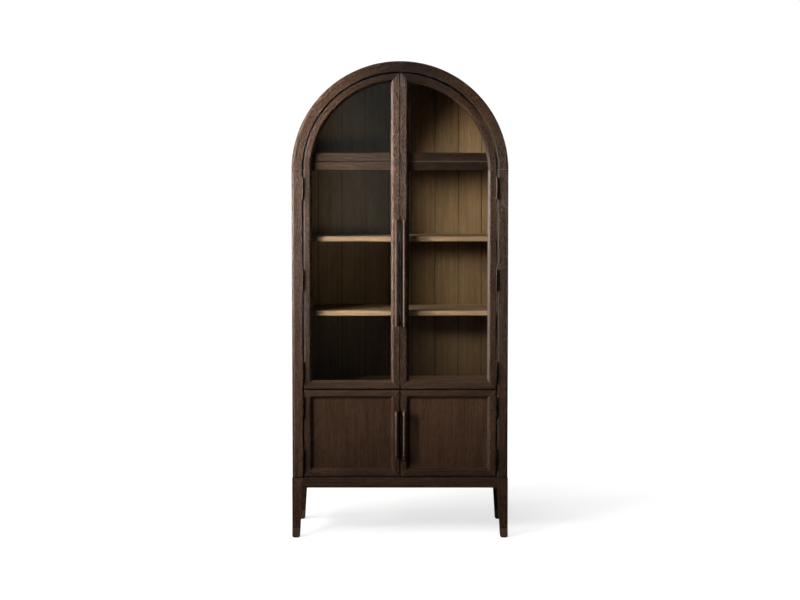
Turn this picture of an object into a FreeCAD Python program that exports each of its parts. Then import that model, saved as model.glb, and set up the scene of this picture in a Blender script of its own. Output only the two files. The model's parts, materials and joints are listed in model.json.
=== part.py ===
import FreeCAD, Part

import math
import os

from FreeCAD import Vector

# Arched display cabinet: a two-storey oak case with a half-round head, a pair of tall
# glazed doors over a pair of short panelled doors, on a low base with tapered legs.
# Millimetres. +Z is up, the doors face -Y, +X is to the right as seen from the front.
# The origin is on the floor, in the middle of the overall width and depth.

# ---- overall sizes -------------------------------------------------------------
CASE_WIDTH = 1100.0
SPRING_Z = 1880.0            # height at which the straight sides turn into the arch
CASE_RADIUS = CASE_WIDTH / 2
CASE_DEPTH = 480.0
PULL_PROJECTION = 38.0       # door pulls stand this far in front of the case
OVERALL_DEPTH = CASE_DEPTH + PULL_PROJECTION
FRONT_Y = -OVERALL_DEPTH / 2 + PULL_PROJECTION
BACK_Y = OVERALL_DEPTH / 2

# ---- face frame and carcass ----------------------------------------------------
FRAME_WIDTH = 56.0           # width of the stile and of the arch seen from the front
FRAME_THICK = 25.0
FRAME_ROUND = 9.0            # round on the outer front edge
ARRIS = 2.0                  # small broken edges
PANEL_THICK = 25.0
CASE_BOTTOM_Z = 312.0
BOARD_FRONT_Y = FRONT_Y + 28.0       # decks and cross boards start behind the doors
DECK_TOP_Z = 779.0
CROSS_BOARD_THICK = 44.5
CROSS_BOARD_CHAMFER = 2.5    # on its long front edges, so that the two boards show a joint
BACK_BOARD_Y = 235.0
BACK_BOARD_THICK = 16.0
BACK_BOARD_PITCH = 125.0
BACK_BOARD_COUNT = 9
BACK_GROOVE = 2.5            # depth of the V where two boards meet
BATTEN_THICK = BACK_Y - BACK_BOARD_Y - BACK_BOARD_THICK
BATTEN_LENGTH = 900.0
BATTEN_HEIGHT = 60.0
BATTEN_Z = 1895.0
WALL_HOLE_R = 2.5
WALL_HOLE_SPACING = 500.0
WALL_HOLE_DEPTH = 18.0

# ---- shelves -------------------------------------------------------------------
SHELF_THICK = 25.0
SHELF_TOPS = {"shelf_upper": 1543.0, "shelf_lower": 1163.0, "cupboard_shelf": 560.0}
SHELF_FRONT_Y = {"shelf_upper": -173.0, "shelf_lower": -173.0, "cupboard_shelf": -140.0}
SHELF_SIDE_GAP = 1.0
SHELF_BACK_GAP = 2.0
PIN_R = 2.5
PIN_DEPTH = 10.0
PIN_TAB = 9.0
PIN_TAB_THICK = 2.5
PIN_INSET = 45.0             # from the shelf's front and rear edges

# ---- base ----------------------------------------------------------------------
BASE_WIDTH = 1104.0
BASE_FRONT_Y = FRONT_Y - 2.0
APRON_BOTTOM_Z = 259.0
SHADOW_GAP = 3.0             # dark line between the base and the case
SHADOW_DEPTH = 7.0
BASE_TOP_Z = CASE_BOTTOM_Z - SHADOW_GAP
LEG_TOP = 55.0
LEG_FOOT = 38.0
APRON_THICK = 32.0
APRON_SETBACK = 1.5
FERRULE_TOP_Z = 50.0
FERRULE_PROUD = 0.6
FERRULE_WALL = 1.8
FERRULE_CHAMFER = 7.0

# ---- doors ---------------------------------------------------------------------
DOOR_GAP = 4.2               # between a door and the frame round it
MEETING_GAP = 3.0            # between the two doors of a pair
DOOR_THICK = 25.0
DOOR_EDGE_X = CASE_WIDTH / 2 - FRAME_WIDTH - DOOR_GAP
DOOR_INNER_X = MEETING_GAP / 2
MEMBER = 44.0                # width of every stile and rail
BEVEL_WIDTH = 13.0           # sloped border next to the glass or panel
BEVEL_DEPTH = 11.0
LIP = 2.0
REBATE = 8.0
GLASS_THICK = 4.0
PANEL_BOARD_THICK = 7.0
EDGE_CLEARANCE = 1.0         # of glass and panel edges in their rebate or groove
LOWER_DOOR_Z = (316.5, 762.5)
UPPER_DOOR_Z = 766.5

# ---- hinges --------------------------------------------------------------------
HINGE_LENGTH = 110.0
HINGE_X = CASE_WIDTH / 2 - FRAME_WIDTH - DOOR_GAP / 2
HINGE_Y = FRONT_Y - 5.0
HINGE_ZS = {"upper": (1789.0, 1321.0, 850.0), "lower": (671.0, 403.0)}
KNUCKLE_R = 4.5
KNUCKLES = 5
KNUCKLE_GAP = 0.3
PIN_RADIUS = 2.0
PIN_CLEARANCE = 0.05
PIN_HEAD_R = 3.6
PIN_HEAD = 2.5
LEAF_THICK = 1.9
LEAF_DEPTH = 20.0

# ---- door pulls ----------------------------------------------------------------
PULL_X = 20.0
PULL_Z = {"upper": (1088.0, 1633.0), "lower": (409.0, 657.0)}
PULL_BAR_R = 7.5
PULL_CAP_R = 9.2
PULL_CAP_LENGTH = 24.0
PULL_RING_R = 10.0
PULL_RING_LENGTH = 3.0
PULL_POST_R = 5.5
PULL_ROSE_R = 9.0
PULL_ROSE_THICK = 2.5

# ---- magnetic catches ----------------------------------------------------------
CATCH_SIZE = (36.0, 24.0, 12.0)
CATCH_X = 23.5

ARCH_CENTRE = Vector(0, 0, SPRING_Z)
UP = Vector(0, 0, 1)
ALONG_Y = Vector(0, 1, 0)
MIRROR_NORMAL = Vector(1, 0, 0)
BIG = 3000.0


# ---- helpers -------------------------------------------------------------------
def save(name, shape):
    """Write one sub-part as its own STEP file."""
    shape.exportStep(f"parts/{name}.step")


def group(solids):
    """Keep separate solids together in one sub-part."""
    return Part.makeCompound([solid for shape in solids for solid in shape.Solids])


def mirrored(shape):
    """The same piece on the other side of the cabinet."""
    return shape.mirror(Vector(0, 0, 0), MIRROR_NORMAL)


def block(x, y, z):
    """A box between two limits on each axis."""
    low = Vector(min(x), min(y), min(z))
    return Part.makeBox(max(x) - low.x, max(y) - low.y, max(z) - low.z, low)


def polygon_face(points):
    """A flat face inside a closed outline."""
    return Part.Face(Part.makePolygon(points + [points[0]]))


def upright(points_xz, y_from=-BIG / 2, y_to=BIG / 2):
    """A prism along Y over an outline drawn in the front view."""
    face = polygon_face([Vector(x, y_from, z) for x, z in points_xz])
    return face.extrude(Vector(0, y_to - y_from, 0))


def half_disc(radius, y_from, y_to):
    """Everything inside the arch above the spring line, plus the column below it."""
    disc = Part.makeCylinder(radius, y_to - y_from, ARCH_CENTRE + Vector(0, y_from, 0), ALONG_Y)
    column = block((-radius, radius), (y_from, y_to), (0, SPRING_Z))
    return disc.fuse(column).removeSplitter()


def quarter_arch(outline):
    """Turn an outline about the arch's axis, from the right spring line to the crown."""
    return outline.revolve(ARCH_CENTRE, ALONG_Y, -90)


def frustum(lower, upper):
    """A solid with flat sides between two four-cornered outlines at different heights."""
    faces = [polygon_face(lower), polygon_face(upper)]
    for i in range(4):
        j = (i + 1) % 4
        faces.append(polygon_face([lower[i], lower[j], upper[j], upper[i]]))
    return Part.makeSolid(Part.makeShell(faces))


# ---- face frame ----------------------------------------------------------------
def frame_outline(outer_x, z):
    """Section of the face frame at a height z, with its outer front edge rounded."""
    back_y = FRONT_Y + FRAME_THICK
    inner_x = outer_x - FRAME_WIDTH
    middle = FRAME_ROUND * (1 - math.sqrt(0.5))
    a = Vector(outer_x - FRAME_ROUND, FRONT_Y, z)
    b = Vector(outer_x - middle, FRONT_Y + middle, z)
    c = Vector(outer_x, FRONT_Y + FRAME_ROUND, z)
    corners = [
        c,
        Vector(outer_x, back_y, z),
        Vector(inner_x, back_y, z),
        Vector(inner_x, FRONT_Y + ARRIS, z),
        Vector(inner_x + ARRIS, FRONT_Y, z),
        a,
    ]
    edges = [Part.Arc(a, b, c).toShape()]
    edges += [Part.makeLine(p, q) for p, q in zip(corners, corners[1:])]
    return Part.Face(Part.Wire(Part.__sortEdges__(edges)))


def face_stile():
    return frame_outline(CASE_RADIUS, CASE_BOTTOM_Z).extrude(UP * (SPRING_Z - CASE_BOTTOM_Z))


def face_arch():
    return quarter_arch(frame_outline(CASE_RADIUS, SPRING_Z))


# ---- carcass -------------------------------------------------------------------
def shelf_pin_places():
    """Each shelf pin's Y and the height of its shelf's underside."""
    for name, top in SHELF_TOPS.items():
        for y in (SHELF_FRONT_Y[name] + PIN_INSET, BACK_BOARD_Y - SHELF_BACK_GAP - PIN_INSET):
            yield y, top - SHELF_THICK


def side_panel():
    """Upright side, drilled for the shelf pins."""
    inner_x = CASE_RADIUS - PANEL_THICK
    panel = block((inner_x, CASE_RADIUS), (FRONT_Y + FRAME_THICK, BACK_Y), (CASE_BOTTOM_Z, SPRING_Z))
    for y, z in shelf_pin_places():
        start = Vector(inner_x, y, z - PIN_TAB_THICK - PIN_R)
        panel = panel.cut(Part.makeCylinder(PIN_R, PIN_DEPTH, start, Vector(1, 0, 0)))
    return panel


def shelf_pin(y, z):
    """Round peg in the side panel with a flat tab that carries the shelf."""
    inner_x = CASE_RADIUS - PANEL_THICK
    start = Vector(inner_x - PIN_TAB / 2, y, z - PIN_TAB_THICK - PIN_R)
    peg = Part.makeCylinder(PIN_R, PIN_DEPTH + PIN_TAB / 2, start, Vector(1, 0, 0))
    tab_x = (inner_x - PIN_TAB, inner_x)
    tab_y = (y - PIN_TAB / 2, y + PIN_TAB / 2)
    tab = block(tab_x, tab_y, (z - PIN_TAB_THICK, z))
    web = block((inner_x - 2, inner_x), tab_y, (z - PIN_TAB_THICK - 2 * PIN_R, z))
    return peg.fuse([tab, web]).removeSplitter()


def roof_arch():
    """Curved roof board of one side, behind the face frame."""
    z = SPRING_Z
    section = polygon_face([
        Vector(CASE_RADIUS - PANEL_THICK, FRONT_Y + FRAME_THICK, z),
        Vector(CASE_RADIUS, FRONT_Y + FRAME_THICK, z),
        Vector(CASE_RADIUS, BACK_Y, z),
        Vector(CASE_RADIUS - PANEL_THICK, BACK_Y, z),
    ])
    return quarter_arch(section)


def deck(top_z):
    """Fixed full-depth board between the sides."""
    inner_x = CASE_RADIUS - PANEL_THICK
    return block((-inner_x, inner_x), (BOARD_FRONT_Y, BACK_BOARD_Y), (top_z - PANEL_THICK, top_z))


def cross_board(bottom_z):
    """Thick board at the foot of the arch, its ends cut to the curve of the roof."""
    inner_r = CASE_RADIUS - PANEL_THICK
    span = (-inner_r, inner_r)
    board = block(span, (BOARD_FRONT_Y, BACK_BOARD_Y), (bottom_z, bottom_z + CROSS_BOARD_THICK))
    front_edges = [e for e in board.Edges
                   if abs(e.BoundBox.YMax - BOARD_FRONT_Y) < 1e-6 and e.BoundBox.ZLength < 1e-6]
    board = board.makeChamfer(CROSS_BOARD_CHAMFER, front_edges)
    return board.common(half_disc(inner_r, BOARD_FRONT_Y - 1, BACK_BOARD_Y + 1))


def shelf(name):
    half = CASE_RADIUS - PANEL_THICK - SHELF_SIDE_GAP
    top = SHELF_TOPS[name]
    y = (SHELF_FRONT_Y[name], BACK_BOARD_Y - SHELF_BACK_GAP)
    board = block((-half, half), y, (top - SHELF_THICK, top))
    front_edges = [e for e in board.Edges
                   if all(abs(v.Y - y[0]) < 1e-6 for v in e.Vertexes)
                   and abs(e.Vertexes[0].Z - e.Vertexes[1].Z) < 1e-6]
    return board.makeFillet(ARRIS, front_edges)


def wall_holes():
    """Blind holes for the wall straps, through the batten into the back boards."""
    drills = []
    for side in (-1, 1):
        start = Vector(side * WALL_HOLE_SPACING / 2, BACK_Y, BATTEN_Z + BATTEN_HEIGHT / 2)
        drills.append(Part.makeCylinder(WALL_HOLE_R, WALL_HOLE_DEPTH, start, -ALONG_Y))
    return drills


def back_board(index):
    """One upright board with V-grooved edges, cut at the top to the curve of the roof."""
    inner_r = CASE_RADIUS - PANEL_THICK
    middle = (index - (BACK_BOARD_COUNT - 1) / 2) * BACK_BOARD_PITCH
    left = max(middle - BACK_BOARD_PITCH / 2, -inner_r)
    right = min(middle + BACK_BOARD_PITCH / 2, inner_r)
    y_front = BACK_BOARD_Y
    y_back = BACK_BOARD_Y + BACK_BOARD_THICK
    section = polygon_face([
        Vector(left + BACK_GROOVE, y_front, CASE_BOTTOM_Z),
        Vector(right - BACK_GROOVE, y_front, CASE_BOTTOM_Z),
        Vector(right, y_front + BACK_GROOVE, CASE_BOTTOM_Z),
        Vector(right, y_back, CASE_BOTTOM_Z),
        Vector(left, y_back, CASE_BOTTOM_Z),
        Vector(left, y_front + BACK_GROOVE, CASE_BOTTOM_Z),
    ])
    board = section.extrude(UP * (SPRING_Z + inner_r - CASE_BOTTOM_Z))
    return board.common(half_disc(inner_r, y_front - 1, y_back + 1)).cut(wall_holes())


def back_batten():
    half = BATTEN_LENGTH / 2
    z = (BATTEN_Z, BATTEN_Z + BATTEN_HEIGHT)
    return block((-half, half), (BACK_Y - BATTEN_THICK, BACK_Y), z).cut(wall_holes())


# ---- base ----------------------------------------------------------------------
def leg_outline(size, z, inset=0.0):
    """Four corners of the front right leg at a height; the outer faces stay upright."""
    x1 = BASE_WIDTH / 2 - inset
    x0 = BASE_WIDTH / 2 - size + inset
    y0 = BASE_FRONT_Y + inset
    y1 = BASE_FRONT_Y + size - inset
    return [Vector(x0, y0, z), Vector(x1, y0, z), Vector(x1, y1, z), Vector(x0, y1, z)]


def leg_size(z):
    """Width of the tapered leg at a height below the apron."""
    return LEG_FOOT + (LEG_TOP - LEG_FOOT) * z / APRON_BOTTOM_Z


def ferrule():
    """Metal cap around the foot, bevelled where it meets the floor."""
    top = leg_size(FERRULE_TOP_Z)
    low = leg_size(FERRULE_CHAMFER)
    bevel = frustum(leg_outline(low, 0, FERRULE_CHAMFER), leg_outline(low, FERRULE_CHAMFER))
    body = frustum(leg_outline(low, FERRULE_CHAMFER), leg_outline(top, FERRULE_TOP_Z))
    return bevel.fuse(body).cut(foot_tenon())


def foot_tenon():
    """The part of the leg that sits inside the ferrule."""
    low = leg_size(FERRULE_CHAMFER)
    top = leg_size(FERRULE_TOP_Z)
    lower = leg_outline(low, FERRULE_CHAMFER, FERRULE_WALL)
    return frustum(lower, leg_outline(top, FERRULE_TOP_Z, FERRULE_WALL))


def leg():
    """Square at the apron, tapered on its two inner faces below it."""
    top = leg_size(FERRULE_TOP_Z)
    taper = frustum(leg_outline(top, FERRULE_TOP_Z, FERRULE_PROUD),
                    leg_outline(LEG_TOP, APRON_BOTTOM_Z, FERRULE_PROUD))
    x1 = BASE_WIDTH / 2 - FERRULE_PROUD
    x0 = BASE_WIDTH / 2 - LEG_TOP
    y0 = BASE_FRONT_Y + FERRULE_PROUD
    y1 = BASE_FRONT_Y + LEG_TOP
    head = block((x0, x1), (y0, y1), (APRON_BOTTOM_Z, BASE_TOP_Z))
    seat = block((x0, x1 - SHADOW_DEPTH), (y0 + SHADOW_DEPTH, y1), (BASE_TOP_Z, CASE_BOTTOM_Z))
    return taper.fuse([head, seat, foot_tenon()]).removeSplitter()


def to_corner(shape, right, front):
    """Move the front right leg's piece to another corner by mirroring it."""
    if not right:
        shape = mirrored(shape)
    if not front:
        shape = shape.mirror(Vector(0, (BASE_FRONT_Y + BACK_Y) / 2, 0), ALONG_Y)
    return shape


def apron_long():
    """Front rail of the base, with the shadow gap along its top edge."""
    half = BASE_WIDTH / 2 - LEG_TOP
    y0 = BASE_FRONT_Y + APRON_SETBACK
    rail = block((-half, half), (y0, y0 + APRON_THICK), (APRON_BOTTOM_Z, BASE_TOP_Z))
    seat_y = (BASE_FRONT_Y + SHADOW_DEPTH, y0 + APRON_THICK)
    seat = block((-half, half), seat_y, (BASE_TOP_Z, CASE_BOTTOM_Z))
    return rail.fuse(seat).removeSplitter()


def apron_side():
    """Right rail of the base, between the front and back legs."""
    x1 = BASE_WIDTH / 2 - APRON_SETBACK
    y = (BASE_FRONT_Y + LEG_TOP, BACK_Y - LEG_TOP)
    rail = block((x1 - APRON_THICK, x1), y, (APRON_BOTTOM_Z, BASE_TOP_Z))
    seat_x = (x1 - APRON_THICK, BASE_WIDTH / 2 - SHADOW_DEPTH)
    seat = block(seat_x, y, (BASE_TOP_Z, CASE_BOTTOM_Z))
    return rail.fuse(seat).removeSplitter()


# ---- doors (right-hand ones; the left ones are mirrored) ------------------------
def member_section(grooved):
    """Outline of a stile or rail: distance in from the outer edge, then depth from the front.

    A glazed member has a rebate that is open to the back for the glass and its bead,
    and a panelled one has a groove that holds the panel on both sides.
    """
    inner = MEMBER
    seat = MEMBER - REBATE
    glass_depth = BEVEL_DEPTH + LIP
    points = [(ARRIS, 0), (inner - BEVEL_WIDTH, 0), (inner, BEVEL_DEPTH)]
    points += [(inner, glass_depth), (seat, glass_depth)]
    if grooved:
        groove_back = glass_depth + PANEL_BOARD_THICK
        points += [(seat, groove_back), (inner, groove_back), (inner, DOOR_THICK)]
    else:
        points += [(seat, DOOR_THICK)]
    return points + [(0, DOOR_THICK), (0, ARRIS)]


def upright_member(edge_x, inward, z_from, z_to, grooved):
    """A vertical stile whose outer edge is at edge_x."""
    points = [Vector(edge_x + inward * u, FRONT_Y + v, z_from) for u, v in member_section(grooved)]
    return polygon_face(points).extrude(UP * (z_to - z_from))


def level_member(edge_z, inward, grooved):
    """A horizontal rail whose outer edge is at edge_z, over the door's whole width."""
    points = [Vector(DOOR_INNER_X, FRONT_Y + v, edge_z + inward * u)
              for u, v in member_section(grooved)]
    return polygon_face(points).extrude(Vector(DOOR_EDGE_X - DOOR_INNER_X, 0, 0))


def arch_height(radius, x):
    """Height of the arch of a given radius above a point at x."""
    return SPRING_Z + math.sqrt(radius ** 2 - x ** 2)


def upper_door():
    """Stiles, bottom rail and curved top rail of the glazed door, mitred at the corners."""
    x0 = DOOR_INNER_X
    x1 = DOOR_EDGE_X
    z0 = UPPER_DOOR_Z
    inner_left = x0 + MEMBER
    inner_right = x1 - MEMBER
    mitre_low = (inner_left, arch_height(inner_right, inner_left))
    mitre_high = (x0, arch_height(x1, x0))
    meeting_area = upright([(x0, z0), (inner_left, z0 + MEMBER), mitre_low, mitre_high])
    hinge_area = upright([(x1, z0), (x1, SPRING_Z), (inner_right, SPRING_Z), (inner_right, z0 + MEMBER)])
    bottom_area = upright([(x0, z0), (x1, z0), (inner_right, z0 + MEMBER), (inner_left, z0 + MEMBER)])
    above_mitre = upright([mitre_low, mitre_high, (x0 - MEMBER, mitre_high[1]), (x0 - MEMBER, mitre_low[1])])
    beside_mitre = block((x0 - 2 * MEMBER, x0), (-BIG / 2, BIG / 2), (SPRING_Z, BIG))
    ring_section = polygon_face([Vector(x1 - u, FRONT_Y + v, SPRING_Z) for u, v in member_section(False)])
    arch_rail = quarter_arch(ring_section).cut([above_mitre, beside_mitre])
    return {
        "meeting_stile": upright_member(x0, 1, z0, mitre_high[1], False).common(meeting_area),
        "hinge_stile": upright_member(x1, -1, z0, SPRING_Z, False).common(hinge_area),
        "bottom_rail": level_member(z0, 1, False).common(bottom_area),
        "arch_rail": arch_rail,
    }


def glazing_area(margin, y_from, y_to):
    """The door's glazed opening as a solid, made larger all round by a margin."""
    left = DOOR_INNER_X + MEMBER - margin
    radius = DOOR_EDGE_X - MEMBER + margin
    bottom = UPPER_DOOR_Z + MEMBER - margin
    return half_disc(radius, y_from, y_to).common(block((left, radius), (y_from, y_to), (bottom, BIG)))


def glass():
    y = FRONT_Y + BEVEL_DEPTH + LIP
    return glazing_area(REBATE - EDGE_CLEARANCE, y, y + GLASS_THICK)


def glass_bead():
    """Loop of square bead that holds the glass in its rebate from behind."""
    y = FRONT_Y + BEVEL_DEPTH + LIP + GLASS_THICK
    outer = glazing_area(REBATE - EDGE_CLEARANCE / 10, y, FRONT_Y + DOOR_THICK)
    return outer.cut(glazing_area(0, y - 1, FRONT_Y + DOOR_THICK + 1))


def lower_door():
    """Four mitred members of the panelled door."""
    x0 = DOOR_INNER_X
    x1 = DOOR_EDGE_X
    z0, z1 = LOWER_DOOR_Z
    a = MEMBER
    left_area = upright([(x0, z0), (x0 + a, z0 + a), (x0 + a, z1 - a), (x0, z1)])
    right_area = upright([(x1, z0), (x1, z1), (x1 - a, z1 - a), (x1 - a, z0 + a)])
    bottom_area = upright([(x0, z0), (x1, z0), (x1 - a, z0 + a), (x0 + a, z0 + a)])
    top_area = upright([(x0, z1), (x0 + a, z1 - a), (x1 - a, z1 - a), (x1, z1)])
    return {
        "meeting_stile": upright_member(x0, 1, z0, z1, True).common(left_area),
        "hinge_stile": upright_member(x1, -1, z0, z1, True).common(right_area),
        "bottom_rail": level_member(z0, 1, True).common(bottom_area),
        "top_rail": level_member(z1, -1, True).common(top_area),
    }


def lower_panel():
    """Flat panel held in the grooves of the lower door."""
    reach = MEMBER - REBATE + EDGE_CLEARANCE
    y = FRONT_Y + BEVEL_DEPTH + LIP
    z = (LOWER_DOOR_Z[0] + reach, LOWER_DOOR_Z[1] - reach)
    return block((DOOR_INNER_X + reach, DOOR_EDGE_X - reach), (y, y + PANEL_BOARD_THICK), z)


# ---- hinges (on the right-hand side) --------------------------------------------
def hinge_leaf(z_middle, knuckle_indices, plate_x):
    """One leaf with its share of the knuckles, bored for the pin."""
    z0 = z_middle - HINGE_LENGTH / 2
    pitch = HINGE_LENGTH / KNUCKLES
    axis_foot = Vector(HINGE_X, HINGE_Y, z0)
    pieces = [block(plate_x, (FRONT_Y, FRONT_Y + LEAF_DEPTH), (z0, z0 + HINGE_LENGTH))]
    for i in knuckle_indices:
        low = z0 + i * pitch + KNUCKLE_GAP / 2
        height = pitch - KNUCKLE_GAP
        foot = Vector(HINGE_X, HINGE_Y, low)
        pieces.append(Part.makeCylinder(KNUCKLE_R, height, foot))
        pieces.append(block(plate_x, (HINGE_Y, FRONT_Y), (low, low + height)))
    bore = Part.makeCylinder(PIN_RADIUS + PIN_CLEARANCE, HINGE_LENGTH, axis_foot)
    return pieces[0].fuse(pieces[1:]).cut(bore).removeSplitter()


def frame_leaf(z):
    frame_x = CASE_WIDTH / 2 - FRAME_WIDTH
    return hinge_leaf(z, range(0, KNUCKLES, 2), (frame_x - LEAF_THICK, frame_x))


def door_leaf(z):
    return hinge_leaf(z, range(1, KNUCKLES, 2), (DOOR_EDGE_X, DOOR_EDGE_X + LEAF_THICK))


def hinge_pin(z):
    """Loose pin with a small domed button at each end."""
    half = HINGE_LENGTH / 2 - KNUCKLE_GAP / 2
    pin = Part.makeCylinder(PIN_RADIUS, 2 * half, Vector(HINGE_X, HINGE_Y, z - half))
    upper = Part.makeCone(PIN_HEAD_R, PIN_HEAD_R / 2, PIN_HEAD, Vector(HINGE_X, HINGE_Y, z + half))
    lower = Part.makeCone(PIN_HEAD_R, PIN_HEAD_R / 2, PIN_HEAD, Vector(HINGE_X, HINGE_Y, z - half), -UP)
    return pin.fuse([upper, lower])


# ---- pulls -----------------------------------------------------------------------
def pull_end(z_outer, inward):
    """Cast end of a pull: cap over the bar's end, ring collar, post and rose."""
    centre_y = FRONT_Y - PULL_PROJECTION + PULL_RING_R
    axis = UP * inward
    start = Vector(PULL_X, centre_y, z_outer)
    cap = Part.makeCylinder(PULL_CAP_R, PULL_CAP_LENGTH, start, axis)
    rim = [e for e in cap.Edges if e.BoundBox.ZLength < 1e-6 and abs(e.BoundBox.ZMin - z_outer) < 1e-6]
    cap = cap.makeFillet(2.0, rim)
    ring_start = start + axis * (PULL_CAP_LENGTH - PULL_RING_LENGTH)
    ring = Part.makeCylinder(PULL_RING_R, PULL_RING_LENGTH, ring_start, axis)
    post_foot = Vector(PULL_X, FRONT_Y, z_outer + inward * PULL_CAP_LENGTH / 2)
    post = Part.makeCylinder(PULL_POST_R, FRONT_Y - centre_y, post_foot, -ALONG_Y)
    rose = Part.makeCone(PULL_ROSE_R, PULL_POST_R, PULL_ROSE_THICK, post_foot, -ALONG_Y)
    return cap.fuse([ring, post, rose])


def pull(z_from, z_to):
    """Bar pull: a round bar between two cast ends."""
    centre_y = FRONT_Y - PULL_PROJECTION + PULL_RING_R
    low = z_from + PULL_CAP_LENGTH
    bar = Part.makeCylinder(PULL_BAR_R, z_to - z_from - 2 * PULL_CAP_LENGTH, Vector(PULL_X, centre_y, low))
    return group([bar, pull_end(z_from, 1), pull_end(z_to, -1)])


def catches():
    """Magnetic catches under and over the decks, behind the meeting stiles."""
    length, depth, height = CATCH_SIZE
    places = [
        SPRING_Z - height,
        DECK_TOP_Z,
        DECK_TOP_Z - PANEL_THICK - height,
        CASE_BOTTOM_Z + PANEL_THICK,
    ]
    solids = []
    for z in places:
        for side in (-1, 1):
            x = (side * CATCH_X - length / 2, side * CATCH_X + length / 2)
            solids.append(block(x, (BOARD_FRONT_Y, BOARD_FRONT_Y + depth), (z, z + height)))
    return group(solids)


# ---- write every sub-part ---------------------------------------------------------
os.makedirs("parts", exist_ok=True)

for end_name, front in (("front", True), ("back", False)):
    for side_name, right in (("right", True), ("left", False)):
        save(f"leg_{end_name}_{side_name}", to_corner(leg(), right, front))
    save(f"apron_{end_name}", to_corner(apron_long(), True, front))
save("leg_ferrules", group([to_corner(ferrule(), r, f) for r in (True, False) for f in (True, False)]))

for piece_name, piece in (
    ("apron", apron_side()),
    ("side_panel", side_panel()),
    ("face_stile", face_stile()),
    ("face_arch", face_arch()),
    ("roof_arch", roof_arch()),
):
    save(f"{piece_name}_right", piece)
    save(f"{piece_name}_left", mirrored(piece))

save("case_bottom", deck(CASE_BOTTOM_Z + PANEL_THICK))
save("middle_deck", deck(DECK_TOP_Z))
save("cross_board_lower", cross_board(SPRING_Z))
save("cross_board_upper", cross_board(SPRING_Z + CROSS_BOARD_THICK))
save("back_boards", group([back_board(i) for i in range(BACK_BOARD_COUNT)]))
save("back_batten", back_batten())
for shelf_name in SHELF_TOPS:
    save(shelf_name, shelf(shelf_name))
pins_right = [shelf_pin(y, z) for y, z in shelf_pin_places()]
save("shelf_pins", group(pins_right + [mirrored(pin) for pin in pins_right]))
save("door_catches", catches())

all_hinges = HINGE_ZS["upper"] + HINGE_ZS["lower"]
for piece_name, make in (("hinge_frame_leaves", frame_leaf), ("hinge_pins", hinge_pin)):
    right_hand = [make(z) for z in all_hinges]
    save(piece_name, group(right_hand + [mirrored(piece) for piece in right_hand]))

door_pieces = {
    "upper": upper_door() | {"glass": glass(), "glass_bead": glass_bead()},
    "lower": lower_door() | {"panel": lower_panel()},
}
for level, pieces in door_pieces.items():
    pieces["hinge_leaves"] = group([door_leaf(z) for z in HINGE_ZS[level]])
    pieces["pull"] = pull(*PULL_Z[level])
    for piece_name, piece in pieces.items():
        save(f"{level}_right_{piece_name}", piece)
        save(f"{level}_left_{piece_name}", mirrored(piece))
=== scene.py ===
import json
import math
import random

import bmesh
import bpy
from mathutils import Matrix, Vector


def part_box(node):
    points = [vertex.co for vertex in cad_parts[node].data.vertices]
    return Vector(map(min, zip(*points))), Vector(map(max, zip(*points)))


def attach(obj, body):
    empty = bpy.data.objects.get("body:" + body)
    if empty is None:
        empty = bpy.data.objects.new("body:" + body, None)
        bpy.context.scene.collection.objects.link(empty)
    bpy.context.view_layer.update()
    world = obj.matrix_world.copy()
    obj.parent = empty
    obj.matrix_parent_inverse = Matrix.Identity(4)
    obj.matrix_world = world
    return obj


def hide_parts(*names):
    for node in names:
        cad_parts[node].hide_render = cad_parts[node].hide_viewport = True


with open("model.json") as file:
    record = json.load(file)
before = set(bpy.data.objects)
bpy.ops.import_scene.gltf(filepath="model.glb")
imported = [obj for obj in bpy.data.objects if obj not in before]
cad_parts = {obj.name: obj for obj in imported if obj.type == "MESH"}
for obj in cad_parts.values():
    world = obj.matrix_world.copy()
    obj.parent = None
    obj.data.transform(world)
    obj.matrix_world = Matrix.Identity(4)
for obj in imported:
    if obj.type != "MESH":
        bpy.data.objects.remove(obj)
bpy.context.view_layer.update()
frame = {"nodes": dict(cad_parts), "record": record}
NODES = frame["nodes"]

# ---- places taken from the frame (metres) --------------------------------------------
SPRING_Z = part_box("face_stile_left")[1].z
CASE_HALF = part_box("face_stile_right")[1].x
PANEL_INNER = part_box("side_panel_right")[0].x
FACE_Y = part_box("face_stile_right")[0].y
BACK_BOARD_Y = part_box("back_boards")[0].y
DOOR_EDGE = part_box("upper_right_hinge_stile")[1].x
FRAME_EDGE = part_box("face_stile_right")[0].x
MEETING_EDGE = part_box("upper_right_meeting_stile")[0].x
GAP_MIDDLE = (DOOR_EDGE + FRAME_EDGE) / 2
GAP_HALF = (FRAME_EDGE - DOOR_EDGE) / 2
MM = 0.001
WHITE = (1, 1, 1, 1)

# ---- camera and lamps ----------------------------------------------------------------
SENSOR = 36.0
LENS = 70.2
CAMERA_HEIGHT = 1.827
CAMERA_DISTANCE = 7.907
CAMERA_SHIFT = -0.045
HORIZON_SHIFT = -0.1491      # the whole shift that a level camera would need


def look_at(obj, target):
    obj.rotation_mode = "QUATERNION"
    obj.rotation_quaternion = (Vector(target) - obj.location).to_track_quat("-Z", "Y")


def make_camera():
    """A long lens, a little above the spring line, tipped down by what the shift leaves over."""
    data = bpy.data.cameras.new("camera")
    data.sensor_width = SENSOR
    data.lens = LENS
    data.shift_y = CAMERA_SHIFT
    camera = bpy.data.objects.new("camera", data)
    bpy.context.scene.collection.objects.link(camera)
    camera.location = (0, FACE_Y - CAMERA_DISTANCE, CAMERA_HEIGHT)
    pitch = math.atan((CAMERA_SHIFT - HORIZON_SHIFT) * SENSOR / LENS)
    camera.rotation_euler = (math.pi / 2 - pitch, 0, 0)
    bpy.context.scene.camera = camera


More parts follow.
